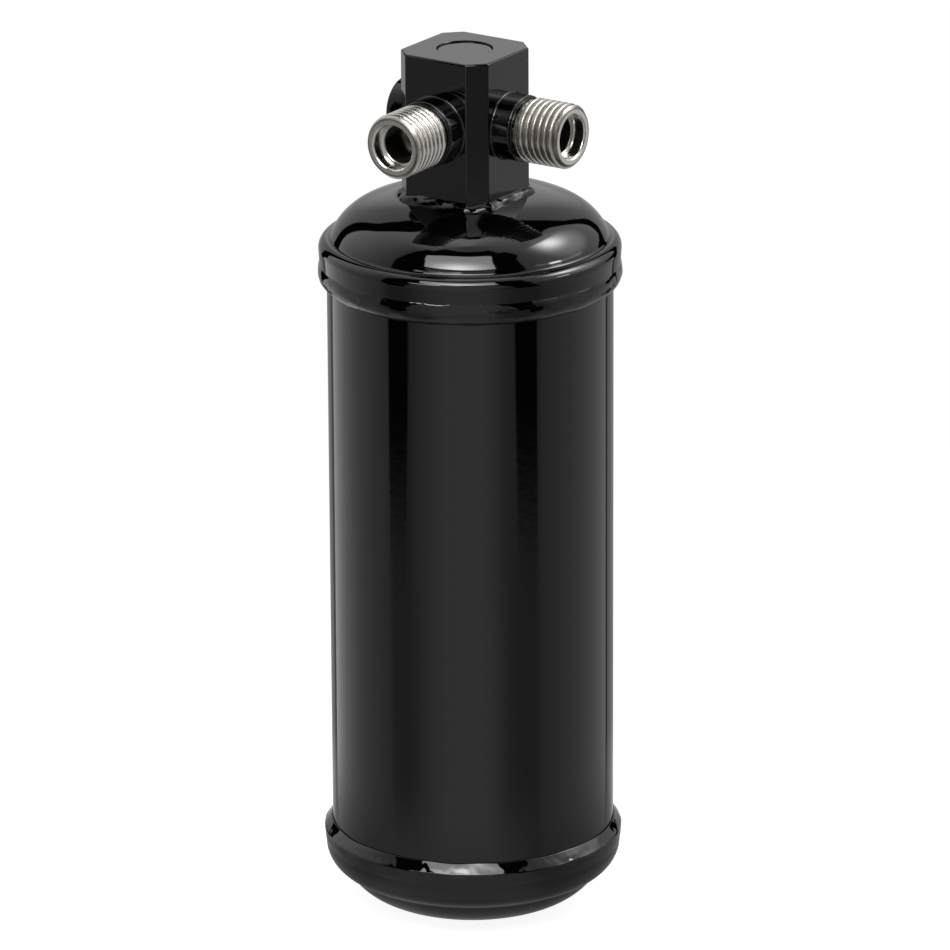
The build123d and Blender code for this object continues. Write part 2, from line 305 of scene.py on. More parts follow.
skirt_taper = 0.32
skirt_rim_r = upper_skirt_r - skirt_taper
upper_bead = girth_bead(
    "upper_bead",
    downhill((skirt_rim_r + 0.07, 1.6), (1.6, 28, 6), (1.0, 6, -4), (4.1, -4, -66)),
    [(tube_r, -3.6), (tube_r, 0.0), (skirt_rim_r, 0.0)], upper_edge, seed=11)
lower_bead = girth_bead(
    "lower_bead",
    downhill((tube_r - 0.03, 2.1), (0.3, 175, 95), (0.2, 95, 40), (2.7, 37.5, 36), (0.4, 30, 0),
             (3.2, 0, -12)),
    [(lower_skirt_r - 0.1, -2.9), (lower_skirt_r - 0.1, 0.0), (tube_r, 0.0)], lower_edge, seed=23)

# %% [markdown]
# ## The head block
#
# The block is a length of square bar with its corners planed off, drilled from four sides.
# The drillings are already true in the CAD node, so a merged copy of its mesh is taken and
# only the outer edges are rounded: a machined edge is broken with a file, and the thin round
# is what catches the light. The broad faces are left unsmoothed, so that they mirror as flats.

# %% Head block
block_cut = 3.95
plug_hole_r = 6.82
edge_round = 0.16
face_reach, corner_reach, rim_reach, touch = 0.35, 0.55, 0.03, 0.01
least_turn = 0.5
CAD_POINT = 1e-6  # metres between points of a CAD mesh that are one


def on_outline(point):
    """True on the outer faces of the block above its spigot, and round the plug's hole."""
    x, y = abs(point[0] / MM - head_x), abs(point[1] / MM - head_y)
    outer = max(x, y) > half_side - face_reach or x + y > 2 * half_side - block_cut - corner_reach
    rim = abs(math.hypot(x, y) - plug_hole_r) < rim_reach and point[2] / MM > block_top - touch
    return rim or outer and point[2] / MM > head_seat - touch


block_mesh = frame["nodes"]["head_block"].data.copy()
block_mesh.name = "block"
block_mesh.materials.clear()
work = bmesh.new()
work.from_mesh(block_mesh)
bmesh.ops.remove_doubles(work, verts=work.verts, dist=CAD_POINT)
corners = [e for e in work.edges if len(e.link_faces) == 2 and e.calc_face_angle(0) > least_turn
           and all(on_outline(v.co) for v in e.verts)]
bmesh.ops.bevel(work, geom=corners, offset=edge_round * MM, segments=3, profile=0.5,
                affect="EDGES")
work.to_mesh(block_mesh)
work.free()
block_mesh.shade_smooth()
block_mesh.set_sharp_from_angle(angle=math.radians(22))
normals = np.zeros(len(block_mesh.polygons) * 3, dtype=np.float32)
block_mesh.polygons.foreach_get("normal", normals)
facing = np.sort(np.abs(normals.reshape(-1, 3)), axis=1)
straight = facing[:, 2] > 0.99999
diagonal = (facing[:, 0] < 1e-3) & (np.abs(facing[:, 2] - facing[:, 1]) < 1e-3)
block_mesh.polygons.foreach_set("use_smooth", ~(straight | diagonal))
block = bpy.data.objects.new("block", block_mesh)
bpy.context.collection.objects.link(block)
print("rounded", len(corners), "edges of the block")

# %% [markdown]
# ## The weld round the block's foot
#
# This weld was laid by hand in four runs, and it is the roughest surface of the part. Its grid
# follows the block's outline with rounded corners. Across, it goes from the block's wall down
# and out to the dome, so its foot sits on the dome's own height at each point.

# %% Height of the dome
before_knuckle = SKIRT_POINTS + (ARC_POINTS - 1) + (CREASE_POINTS - 1)
dome_side = cap_side(0.0, **upper_form) + (0, upper_shoulder)
dome_part = dome_side[before_knuckle:][::-1]


def dome_height(radius):
    """Height of the upper cap's outside at a distance from its axis."""
    return np.interp(radius, dome_part[:, 0], dome_part[:, 1], left=head_seat)


fall = head_seat - float(dome_height(half_side + 5))
print("5 mm beside the block the dome has fallen by", round(fall, 2), "mm")


# %% Foot weld
def outline(half, cut, steps):
    """Points evenly spaced round a square with cut corners, and the normal at each.

    The normals are averaged over some neighbours, which rounds the corners further out."""
    side = half - cut
    corner = np.array([(half, -side), (half, side), (side, half), (-side, half), (-half, side),
                       (-half, -side), (-side, -half), (side, -half), (half, -side)])
    length = np.r_[0, np.cumsum(np.hypot(*np.diff(corner, axis=0).T))]
    at = np.linspace(0, length[-1], steps, endpoint=False)
    points = np.stack([np.interp(at, length, corner[:, axis]) for axis in (0, 1)], -1)
    tangent = np.roll(points, -1, 0) - np.roll(points, 1, 0)
    spread = 7
    tangent = sum(np.roll(tangent, k, 0) for k in range(-spread, spread + 1))
    normal = np.stack([tangent[:, 1], -tangent[:, 0]], -1)
    return points, normal / np.linalg.norm(normal, axis=1)[:, None]


def foot_weld():
    """Across, t = 0 at the block's wall and 1 at the toe: out = leg x t, up = leg x (1 - t),
    bulged outwards by sin(pi t) and by lumps."""
    steps, rows = 900, 26
    slant, buried = 0.7, 0.15
    points, normal = outline(half_side, block_cut, steps)
    turn = np.linspace(0, 2 * np.pi, steps, endpoint=False)
    across = np.linspace(0, 1, rows)[:, None]
    leg = 1.6 + 0.08 * waves(turn, 0.0, 5, 4, 18, 7)
    rise = 1.45 + 0.08 * waves(turn, 0.0, 6, 4, 20, 7)
    lumps = 0.10 * waves(turn, across, 7, 5, 18, 9, 3.0)
    lumps = lumps + 0.012 * waves(turn, across, 8, 20, 44, 10, 4.0)
    bulge = np.sin(np.pi * across) * (0.3 + lumps)
    out = leg * across + slant * bulge
    spots = points[None] + normal[None] * out[..., None] + (head_x, head_y)
    foot = dome_height(np.hypot(spots[..., 0], spots[..., 1]))
    up = foot + rise * (1 - across) ** 1.1 + slant * bulge
    top = np.concatenate([spots, up[..., None]], -1)
    toe = np.concatenate([spots[-1], foot[-1, :, None] - buried], -1)
    heel_at = points + (head_x, head_y) - normal * 0.05
    heel_low = dome_height(np.hypot(heel_at[:, 0], heel_at[:, 1])) - buried
    heel = np.concatenate([heel_at, heel_low[:, None]], -1)
    return skin("foot_weld", np.concatenate([top, toe[None], heel[None]]), close_rows=True)


weld = foot_weld()

# %% [markdown]
# ## Ports with a cut thread
#
# A fitting is turned from bar and its thread is cut by a tool that moves along as the bar
# turns. In numbers: the radius at an angle and a distance along the axis depends on
# distance / pitch - angle / turn, so the same grid that makes a plain cylinder makes a helix.
# The crest is never higher than the blank, so the chamfer cuts the first thread away as a
# lathe would. Inside, the bore narrows twice: a pilot for the O-ring's nose, then the throat.

# %% Port
# in millimetres: radii, and distances from the block's face or, for depths, from the mouth
shank_r, shank_length, shank_round = 8.15, 5.2, 0.4
relief_r = 7.3
thread_r = 15.875 / 2
thread_start, runout = 7.2, 0.64
port_length = port_high[0] - (head_x + half_side)
end_chamfer = 0.9
pitch, thread_depth = 1.68, 0.82
crest_share, flank_share = 0.16, 0.62
pilot_r, pilot_depth = 5.4, 3.2
bore_r, bore_depth = 4.5, 11.9
throat_r = 3.8
mouth_bevel, step_bevel = 0.4, 0.35
socket_r, socket_depth = 5.5, 3.2


def thread_cut(along, turn):
    """Depth of the groove: a triangle wave of along / pitch - turn / 2 pi, its peaks cut flat
    and its corners rounded."""
    phase = (along / pitch - turn / (2 * np.pi)) % 1.0
    wave = np.abs(2 * phase - 1)
    ramp = np.clip((wave - crest_share) / flank_share, 0, 1)
    return thread_depth * ramp * ramp * (3 - 2 * ramp)


def port_grid(steps=240):
    """Outside from the socket to the mouth with the thread cut in, then back down the bore.

    Radius and distance from the block's face at each row and column, and each column's turn."""
    chamfer_start, floor_of_pilot = port_length - end_chamfer, port_length - pilot_depth
    blank = np.vstack([
        [(socket_r, -socket_depth), (socket_r, 0), (shank_r, 0)],
        line((shank_r, 0.05), (shank_r, shank_length - shank_round), 12),
        arc((shank_r - shank_round, shank_length - shank_round), shank_round, 0, 90, 6)[1:],
        line((relief_r + 0.1, shank_length), (relief_r, shank_length + 0.1), 3),
        line((relief_r, shank_length + 0.2), (relief_r, thread_start - runout), 6),
        line((relief_r, thread_start - runout), (thread_r, thread_start), 14)[1:],
        line((thread_r, thread_start), (thread_r, chamfer_start), 190)[1:],
        line((thread_r, chamfer_start), (thread_r - end_chamfer, port_length), 18)[1:]])
    bore = np.vstack([
        line((thread_r - end_chamfer - 0.04, port_length), (pilot_r + 0.44, port_length), 5),
        line((pilot_r + mouth_bevel, port_length), (pilot_r, port_length - mouth_bevel), 4),
        line((pilot_r, port_length - 0.5), (pilot_r, floor_of_pilot), 12),
        line((bore_r + step_bevel, floor_of_pilot), (bore_r, floor_of_pilot - step_bevel), 4),
        line((bore_r, floor_of_pilot - 0.5), (bore_r, port_length - bore_depth), 20),
        [(throat_r, port_length - bore_depth), (throat_r, -socket_depth)]])
    turn = np.linspace(0, 2 * np.pi, steps, endpoint=False)
    radius, along = (blank[:, column, None] + 0 * turn for column in (0, 1))
    cut = thread_r - thread_cut(along, turn)
    radius = np.where(along > thread_start - runout, np.minimum(radius, cut), radius)
    inner_radius, inner_along = (bore[:, column, None] + 0 * turn for column in (0, 1))
    return np.vstack([radius, inner_radius]), np.vstack([along, inner_along]), turn


radius, along, turn = port_grid()
sideways, upwards = radius * np.cos(turn), port_z + radius * np.sin(turn)
outlet = skin("outlet_fitting", np.stack([
    head_x + half_side + along, head_y + sideways, upwards], -1), close_rows=True, sharp=64)
inlet = skin("inlet_fitting", np.stack([
    head_x + sideways, head_y - half_side - along, upwards], -1), close_rows=True, sharp=64)

# %% [markdown]
# ## Plugs and braze
#
# The riser's top is closed by a pressed disc that sits just below the surface, and the unused
# cross hole by a plug with a broad head. Both are turned, with small rounds at their edges.
# Braze is drawn into the corner between a port and the block, and leaves a hollow ring.

# %% Plugs
plug_low, plug_high = box_mm("top_plug")
plug_r = (plug_high[0] - plug_low[0]) / 2
plug_round = 0.45
plug_top = plug_high[2]
plug_section = np.vstack([
    [(0, plug_low[2])], [(plug_r, plug_low[2])],
    line((plug_r, plug_top - 0.6), (plug_r, plug_top - plug_round)),
    arc((plug_r - plug_round, plug_top - plug_round), plug_round, 0, 90, 9)[1:],
    [(plug_r - 0.5, plug_top)], [(0, plug_top)]])
top_disc = skin("top_disc", revolve(plug_section, 192) + (head_x, head_y, 0))

side_low, side_high = box_mm("side_plug")
side_r = (side_high[2] - side_low[2]) / 2
side_head = (head_x - half_side) - side_low[0]
side_round = 0.6
side_spigot_r, side_spigot = 5.5, 3.18
side_section = np.vstack([
    [(0, -side_spigot), (side_spigot_r, -side_spigot), (side_spigot_r, 0), (side_r, 0)],
    line((side_r, 0.1), (side_r, side_head - side_round), 4),
    arc((side_r - side_round, side_head - side_round), side_round, 0, 90, 9)[1:],
    [(0, side_head)]])
side_grid = revolve(side_section, 192)
side_disc = skin("side_disc", np.stack([
    head_x - half_side - side_grid[..., 2], head_y + side_grid[..., 1],
    port_z + side_grid[..., 0]], -1))

# %% Rings of braze
braze_leg = 0.45
hollow = arc((shank_r + braze_leg, braze_leg), braze_leg, 270, 180, 9)
ring = revolve(np.vstack([hollow, [(shank_r, 0)]]), 240)
outlet_ring = skin("outlet_ring", np.stack([
    head_x + half_side + ring[..., 2], head_y + ring[..., 0], port_z + ring[..., 1]], -1), True)
inlet_ring = skin("inlet_ring", np.stack([
    head_x + ring[..., 0], head_y - half_side - ring[..., 2], port_z + ring[..., 1]], -1), True)

# %% [markdown]
# ## Shader sums in Python
#
# A finish is a small graph of nodes. Wrapping a socket in a class that knows Python's own
# operators lets a mask be written as a sum; every other node comes from one method. A socket is
# named where its name is the only one of its kind, and numbered where a node has several: the
# Mix node keeps its two colours in sockets 6 and 7 and the mixed colour in output 2.

# %% One wrapped socket
def set_stops(ramp, stops):
    """Gives a colour ramp its grey stops, from (position, value) pairs."""
    while len(ramp) < len(stops):
        ramp.new(0.5)
    for stop, (at, value) in zip(ramp, stops):
        stop.position = at
        stop.color = (value, value, value, 1.0)


class Wire:
    """An output socket of a node, usable in Python sums."""

    def __init__(self, tree, socket=None):
        self.tree = tree
        self.socket = socket

    def node(self, kind, settings=None, inputs=None, out=0):
        """Adds a node: settings first, then the values or links of its sockets."""
        new = self.tree.nodes.new(kind)
        for key, value in (settings or {}).items():
            if key == "stops":
                set_stops(new.color_ramp.elements, value)
            else:
                setattr(new, key, value)
        for key, value in (inputs or {}).items():
            if isinstance(value, Wire):
                self.tree.links.new(value.socket, new.inputs[key])
            else:
                new.inputs[key].default_value = value
        return Wire(self.tree, new.outputs[out])

    def maths(self, operation, *values):
        """A Math node on this wire and the values after it, which are numbers or wires."""
        return self.node("ShaderNodeMath", {"operation": operation},
                         dict(enumerate((self, *values))))

    def __add__(self, other):
        return self.maths("ADD", other)

    def __sub__(self, other):
        return self.maths("SUBTRACT", other)

    def __rsub__(self, other):
        return self.node("ShaderNodeMath", {"operation": "SUBTRACT"}, {0: other, 1: self})

    def __mul__(self, other):
        return self.maths("MULTIPLY", other)

    def __truediv__(self, other):
        return self.maths("DIVIDE", other)

    __radd__ = __add__
    __rmul__ = __mul__

    def vector(self, operation, *values, out="Vector"):
        """A Vector Math node on this wire and the vectors after it."""
        return self.node("ShaderNodeVectorMath", {"operation": operation},
                         dict(enumerate((self, *values))), out)

    def dot(self, vector):
        """Dot product with a fixed direction."""
        return self.vector("DOT_PRODUCT", tuple(vector), out="Value")

    def length(self):
        """Length of a vector."""
        return self.vector("LENGTH", out="Value")

    def ease(self, low, high):
        """0 below low, 1 above high, eased between."""
        return self.node("ShaderNodeMapRange", {"interpolation_type": "SMOOTHSTEP"},
                         {"Value": self, "From Min": low, "From Max": high})

    def blend(self, low, high):
        """Colour that goes from low to high as this wire goes from 0 to 1."""
        return self.node("ShaderNodeMix", {"data_type": "RGBA"},
                         {"Factor": self, 6: low, 7: high}, out=2)

    def noise(self, scale, detail, distortion=0.0):
        """Noise at a place: scale counts its cells in a metre."""
        return self.node("ShaderNodeTexNoise", inputs={
            "Vector": self, "Scale": scale, "Detail": detail, "Distortion": distortion})

    def bump(self, strength, distance):
        """Normal of a surface that this wire lifts by a distance in metres."""
        return self.node("ShaderNodeBump", inputs={
            "Strength": strength, "Distance": distance, "Height": self})


def new_material(name):
    """An empty material, a wire to start its graph from, and the place on the piece."""
    material = bpy.data.materials.new(name)
    material.use_nodes = True
    material.node_tree.nodes.clear()
    start = Wire(material.node_tree)
    return material, start, start.node("ShaderNodeTexCoord", out="Object")


def finish_with(material, shader):
    """Joins a shader to the material's output."""
    out = material.node_tree.nodes.new("ShaderNodeOutputMaterial")
    material.node_tree.links.new(shader.socket, out.inputs["Surface"])
    print(material.name, "made of", len(material.node_tree.nodes), "nodes")
    return material


# %% [markdown]
# ## Gloss black paint
#
# The whole body is sprayed after welding. The coat is a deep black with a clear gloss, so
# almost all that one sees is the room. Sprayed paint is never quite flat: a faint ripple about
# two millimetres across bends the reflections, and fine dust dulls it by a trace.

# %% Black paint
PAINT_BLACK = (0.0012, 0.0012, 0.0013, 1.0)


def black_paint():
    """Gloss over black: the ripple is a bump, and the dust adds to the roughness."""
    material, start, at = new_material("black_paint")
    peel, dust = at.noise(420.0, 1.0), at.noise(90.0, 4.0)
    shader = start.node("ShaderNodeBsdfPrincipled", inputs={
        "Base Color": PAINT_BLACK,
        "Roughness": 0.03 + 0.02 * dust,
        "IOR": 1.5,
        "Normal": peel.bump(0.04, 0.0001)})
    return finish_with(material, shader)


paint = black_paint()

# %% [markdown]
# ## Bare steel
#
# The ports are masked while the body is sprayed, so their threads stay bright. A lathe leaves
# fine rings round the axis, painted shade darkens the thread's roots and the bore, and the paint
# ends on the shank. All of it depends only on the distance along the port's own axis and from it.

# %% Turned steel
bright_crest = 0.16
paint_end = shank_length + 0.9


def turned_steel(name, axis, centre, face):
    """Steel of one port: axis is its direction, centre a point on it, face where it starts.

    In millimetres, along is the distance out of the block and away the distance from the axis,
    which also tells the outside of the port from the inside of its bore."""
    material, start, at = new_material(name)
    along = (at.dot(axis) - face * MM) * (1 / MM)
    off = at.vector("SUBTRACT", tuple(c * MM for c in centre))
    away = off.vector("CROSS_PRODUCT", tuple(axis)).length() * (1 / MM)
    rings = start.node("ShaderNodeTexNoise", {"noise_dimensions": "1D"},
                       {"W": along * 9.0 + away * 7.0, "Scale": 1.0, "Detail": 3.0})
    shade_mottle, patch = at.noise(260.0, 3.0), at.noise(900.0, 2.0)
    outside = away.ease(6.7, 6.8)
    # painted shade: the roots of the thread are darkened, patchy by noise
    groove = (1 - away.ease(thread_r - thread_depth, thread_r - bright_crest)) * outside
    root_shade = groove * (0.72 + 0.28 * shade_mottle.ease(0.3, 0.62))
    inside = 1 - away.ease(4.6, 5.0)
    ragged = along + 0.35 * (patch - 0.5)
    painted = (1 - ragged.ease(paint_end, paint_end + 0.15)) * outside
    steel = rings.blend((0.60, 0.575, 0.54, 1.0), (0.74, 0.72, 0.69, 1.0))
    steel_shaded_in_roots = (root_shade * 0.9).blend(steel, (0.085, 0.065, 0.045, 1.0))
    # painted shade: the inside of the bore is darkened
    shaded_in_bore = (inside * 0.75).blend(steel_shaded_in_roots, (0.13, 0.12, 0.11, 1.0))
    dull = 0.15 + 0.1 * rings + 0.25 * root_shade + 0.1 * inside
    shader = start.node("ShaderNodeBsdfPrincipled", inputs={
        "Base Color": painted.blend(shaded_in_bore, PAINT_BLACK),
        "Metallic": 1 - painted,
        "Roughness": dull * (1 - painted) + 0.05 * painted,
        "IOR": 1.5,
        "Normal": rings.bump(0.1, 0.00004)})
    return finish_with(material, shader)


outlet_steel = turned_steel("outlet_steel", (1, 0, 0), (0, head_y, port_z), head_x + half_side)
inlet_steel = turned_steel("inlet_steel", (0, -1, 0), (head_x, 0, port_z), half_side - head_y)

# %% [markdown]
# ## The hidden pieces
#
# The filter pieces are shown only when the part is taken apart, but they get their own finish
# too: zinc-plated steel, felt, and a charge of pale beads whose round tops are a Voronoi
# pattern pushed out by bump.

# %% Plated and spring steel
def satin_metal(name, colour, roughness, scale):
    """Metal with a fine mottle in its colour and its gloss."""
    material, start, at = new_material(name)
    mottle = at.noise(scale, 4.0)
    darker = (*(0.8 * c for c in colour), 1.0)
    shader = start.node("ShaderNodeBsdfPrincipled", inputs={
        "Base Color": mottle.blend(darker, (*colour, 1.0)),
        "Metallic": 1.0,
        "Roughness": roughness + 0.15 * mottle,
        "Normal": mottle.bump(0.15, 0.00005)})
    return finish_with(material, shader)


plated = satin_metal("plated_steel", (0.66, 0.67, 0.68), 0.28, 700.0)
spring_finish = satin_metal("spring_steel", (0.45, 0.45, 0.46), 0.32, 500.0)


# %% Felt
def pressed_felt():
    """Pale pressed fibres: twisted noise in many scales, rough, with a little sheen."""
    material, start, at = new_material("felt")
    fibre = at.noise(1400.0, 6.0, 2.5)
    shader = start.node("ShaderNodeBsdfPrincipled", inputs={
        "Base Color": fibre.blend((0.70, 0.67, 0.60, 1.0), (0.90, 0.88, 0.82, 1.0)),
        "Roughness": 0.95,
        "Sheen Weight": 0.3,
        "Normal": fibre.bump(0.6, 0.0003)})
    return finish_with(material, shader)


felt = pressed_felt()


# %% Sieve beads
def sieve_beads():
    """Balls about two millimetres across: the distance to the nearest cell makes each top, and
    painted shade darkens the gaps between them.
    """
    material, start, at = new_material("molecular_sieve")
    near = start.node("ShaderNodeTexVoronoi", inputs={"Vector": at, "Scale": 480.0})
    pale = at.noise(300.0, 2.0).blend((0.66, 0.55, 0.42, 1.0), (0.80, 0.71, 0.60, 1.0))
    # painted shade: the gaps between the beads are darkened
    gap_shade = near.ease(0.35, 0.75)
    shader = start.node("ShaderNodeBsdfPrincipled", inputs={
        "Base Color": gap_shade.blend(pale, (0.16, 0.12, 0.09, 1.0)),
        "Roughness": 0.85,
        "Normal": (1 - near).bump(1.0, 0.0008)})
    return finish_with(material, shader)


beads = sieve_beads()

# %% [markdown]
# ## Every piece gets its finish
#
# Each new surface gets its finish and hides the node that it stands for; the nodes of the hidden
# filter pieces keep their own mesh and only change their material.

# %% Finishes
for piece, node in (
        (shell_tube, "body_tube"), (dome_cap, "upper_cap"), (foot_cap, "lower_cap"),
        (upper_bead, "upper_girth_weld"), (lower_bead, "lower_girth_weld"),
        (block, "head_block"), (weld, "head_weld"), (top_disc, "top_plug"),
        (side_disc, "side_plug"), (outlet_ring, "outlet_braze"), (inlet_ring, "inlet_braze")):
    place(piece, paint, "black_paint", node)
place(outlet, outlet_steel, "bare_steel", "outlet_port")
place(inlet, inlet_steel, "bare_steel", "inlet_port")
finishes = {"plated_steel": plated, "spring_steel": spring_finish, "felt": felt,
            "molecular_sieve": beads}
for subpart in frame["record"]["subparts"]:
    if subpart["material_slot"] in finishes:
        node = frame["nodes"][subpart["node"]]
        node.data.materials.clear()
        node.data.materials.append(finishes[subpart["material_slot"]])
        print(subpart["node"], "gets", subpart["material_slot"])

# %% [markdown]
# ## The studio
#
# Gloss black shows nothing but its surroundings, so the studio is the larger half of this
# picture. Each reflection in the paint tells in which direction its cause stands. Cards and
# lamps could be built there as objects, but they would get in the way of a camera that goes
# round the part, so the studio is painted into the world by direction: a bearing that starts
# at the camera, with plus towards its right, and a level above the horizon, in degrees.

# %% Compass of the camera
CAMERA_AZ, CAMERA_EL, CAMERA_ROLL = 33.98, 18.8, -0.304
azimuth, roll = math.radians(CAMERA_AZ), math.radians(CAMERA_ROLL)
front = np.array([math.sin(azimuth), -math.cos(azimuth), 0.0])
right = np.array([math.cos(azimuth), math.sin(azimuth), 0.0])


def direction(bearing, height):
    """Unit vector at a bearing from the camera and a height above the horizon, in degrees."""
    b, h = math.radians(bearing), math.radians(height)
    level_part = (front * math.cos(b) + right * math.sin(b)) * math.cos(h)
    return level_part + np.array([0, 0, math.sin(h)])


world = bpy.data.worlds.new("studio")
bpy.context.scene.world = world
world.use_nodes = True
world.node_tree.nodes.clear()
sky = Wire(world.node_tree)
ray = sky.node("ShaderNodeTexCoord", out="Generated")
level = ray.dot((0, 0, 1)).maths("ARCSINE") * (180 / math.pi)
bearing = ray.dot(right).maths("ARCTAN2", ray.dot(front)) * (180 / math.pi)
print("bearing 0 is", np.round(front, 3), "and bearing 90 is", np.round(right, 3))


# %% Edges that bend
def curve(wire, *points):
    """Straight pieces between (at, value) pairs, both in degrees, as a function of a wire."""
    stops = [((at + 180) / 360, (value + 180) / 360) for at, value in points]
    ramp = wire.node("ShaderNodeValToRGB", {"stops": stops}, {"Fac": wire / 360 + 0.5})
    return ramp * 360 - 180


def between(wire, low, high, soft=0.8):
    """1 between two edges in degrees, 0 outside, eased across each."""
    return (wire - low).ease(-soft, soft) * (high - wire).ease(-soft, soft)


def around(at_bearing, at_level, outer, inner):
    """1 within the inner angle of a direction, 0 beyond the outer one, eased between."""
    nearness = ray.dot(direction(at_bearing, at_level))
    return nearness.ease(math.cos(math.radians(outer)), math.cos(math.radians(inner)))


def spot(at_bearing, width, at_level, height):
    """Brightness that falls off as exp(-d squared) from a direction, d counted in spot sizes."""
    across = (bearing - at_bearing) * (1 / width)
    up = (level - at_level) * (1 / height)
    return (0.0 - (across * across + up * up)).maths("EXPONENT")


# %% [markdown]
# ### What stands round the table
#
# The upright tube mirrors a belt of the room just below the horizon, so the walls are a list
# of bearings and brightnesses. There are three such belts, one at table height, one above it
# and one overhead, and each gives way to the next as the level rises.

# %% Belts of the room
BRIGHTEST = 3  # a ramp holds 0 to 1, so its values are shares of this


def belt(*points):
    """Brightness by bearing: straight pieces between (bearing, brightness) pairs."""
    stops = [((at + 180) / 360, value / BRIGHTEST) for at, value in points]
    return BRIGHTEST * sky.node(
        "ShaderNodeValToRGB", {"stops": stops}, {"Fac": bearing / 360 + 0.5})


low_belt = belt(
    (-180, 1.1), (-159, 1.25), (-141, 1.07), (-125, 0.84), (-113, 0.72), (-102, 0.6),
    (-83, 0.49), (-72, 0.42), (-66, 0.25), (-57, 0.24), (-50, 0.28), (-43, 0.39),
    (-36, 0.48), (-29, 0.57), (-20, 0.65), (-10, 0.68), (7, 0.68), (15, 0.62), (24, 0.43),
    (30, 0.33), (37, 0.28), (51, 0.24), (55, 0.27), (59, 0.37), (66, 0.42), (77, 0.47),
    (94, 0.54), (116, 0.6), (138, 0.62), (150, 0.9), (180, 1.1))
mid_belt = belt(
    (-180, 1.0), (-146, 1.25), (-126, 1.2), (-114, 1.1), (-102, 0.95), (-90, 0.76), (-78, 0.55),
    (-66, 0.5), (-40, 0.65), (-20, 0.7), (10, 0.65), (30, 0.6), (54, 0.62), (66, 0.78),
    (78, 1.0), (96, 1.1), (114, 1.1), (126, 1.0), (138, 0.88), (150, 0.9), (180, 1.0))
top_belt = belt(
    (-180, 2.1), (-135, 2.1), (-110, 1.7), (-90, 1.5), (-72, 1.1), (-46, 0.75), (0, 0.65),
    (40, 0.72), (70, 0.85), (100, 1.1), (130, 1.35), (150, 1.6), (180, 2.1))
mid, top = level.ease(0, 32), level.ease(58, 74)
grey = low_belt * (1 - mid) + mid_belt * (mid * (1 - top)) + top_belt * top
under_table = 1 - level.ease(-23.5, -21.5)
grey = grey * (1 - 0.16 * under_table)
table_shade = between(bearing, 14, 36, 3) * between(level, -16.8, -5, 0.5)
grey = grey * (1 - 0.5 * table_shade)
print("studio so far:", len(world.node_tree.nodes), "nodes")

# %% [markdown]
# ### The backdrop and its frame
#
# A pale backdrop hangs behind the part, in a dark border on each side. At the tube's outline
# the paint mirrors almost all the light from there, which draws the thin pale and dark stripes
# along its two sides. Each border lies between two edges that bend as the level changes.

# %% Backdrop and borders
left_border = curve(level, (-22.5, -161), (-21.2, -153.5), (-14, -151), (0, -144.5), (16, -147),
                    (34, -152), (41, -160), (46, -180))
left_lining = curve(level, (-22.5, -142), (-21.2, -148), (-14, -145.5), (0, -133), (16, -137),
                    (40, -137.5), (44, -139.5), (48, -144), (51, -150), (54, -157), (57, -168),
                    (60, -180))
right_border = curve(level, (-25, 145), (-14, 144), (0, 144), (4, 146), (8, 149.5), (18, 152.5),
                     (26, 153), (36, 157), (40, 160), (43, 164), (49, 180))
right_lining = curve(level, (-22.5, 129), (-21.2, 140.5), (-14, 140), (-6, 136), (-2, 121),
                     (4, 121), (8, 141), (18, 144.5), (33, 147), (42, 150), (45, 151), (48, 149),
                     (51, 144), (57, 132), (62, 124), (66, 118))
room = between(bearing, left_border, right_border, 0.6)
borders = (between(bearing, left_border - 0.5, left_lining)
           + between(bearing, right_lining, right_border + 0.5))
borders = borders * between(level, -30, 62) * (0.84 + 0.16 * level.ease(-17.2, -14))
behind = (1 - room) * (1 - level.ease(46, 50))
backdrop = 0.35 + 0.14 * level.ease(-17.4, -15.9) + 0.32 * around(180, 17, 17, 7)
print("studio so far:", len(world.node_tree.nodes), "nodes")

# %% [markdown]
# ### Softbox and cards
#
# The main light is one softbox in front of the part and above it, brightest in its middle; it
# makes the highlight on the dome. Black cards stand left and right of it, and more black lies
# over and under it. It is the cards that make the two dark bands down the tube.

# %% Softbox and black cards
key_left = curve(level, (33, -40), (38, -43), (47, -47), (53, -52), (58, -56), (66, -60))
key_right = curve(level, (33, 22), (38, 24), (50, 24), (56, 25.5), (62, 29), (68, 31))
key_top = curve(bearing, (-60, 58), (-40, 64), (-20, 66), (0, 66), (20, 66), (36, 63))
key = between(bearing, key_left, key_right, 0.5) * between(level, 38, key_top, 0.5)
key = key * (3.8 + 13.0 * spot(-11, 21, 41, 8.5))
left_edge = curve(level, (-18, -69.5), (20, -70), (30, -72), (36, -74), (60, -75))
left_edge = left_edge + 3.2 * (level.ease(-17.3, -16.8) * (1 - level.ease(-14, -8)))
left_inner = curve(level, (-20, -56), (-18.7, -53), (-17.5, -50), (0, -50), (20, -42), (30, -37),
                   (38, -43), (47, -47), (53, -52), (58, -56), (66, -60))
right_inner = curve(level, (-20, 40), (-18.7, 37), (-17.5, 35), (0, 33), (20, 26), (30, 20),
                    (38, 24), (50, 24), (56, 25.5), (62, 29), (68, 31))
right_edge = curve(level, (-18, 55), (0, 49), (20, 48), (30, 50), (38, 49), (50, 51), (56, 60),
                   (68, 57))
card_height = level.ease(-19.8, -18.3) * (1 - level.ease(66, 69))
cards = (between(bearing, left_edge, left_inner, 1.0)
         + between(bearing, right_inner, right_edge, 1.2)) * card_height
above = between(level, key_top, 76.5, 0.7) * between(bearing, -64, 46, 3)
below = between(level, 36.0, 38.2, 0.4) * between(bearing, -48, 50)
dark = (cards + above + below + borders).maths("MINIMUM", 1.0)
print("studio so far:", len(world.node_tree.nodes), "nodes")

# %% [markdown]
# ### Glows and strips
#
# A softer light stands to the right, with a faint halo round it, and makes the highlight on
# the dome's far shoulder. Two thin strips of light, a third of the way from the horizon to
# overhead, draw the lines along the crease between the dome and the cap's shoulder.

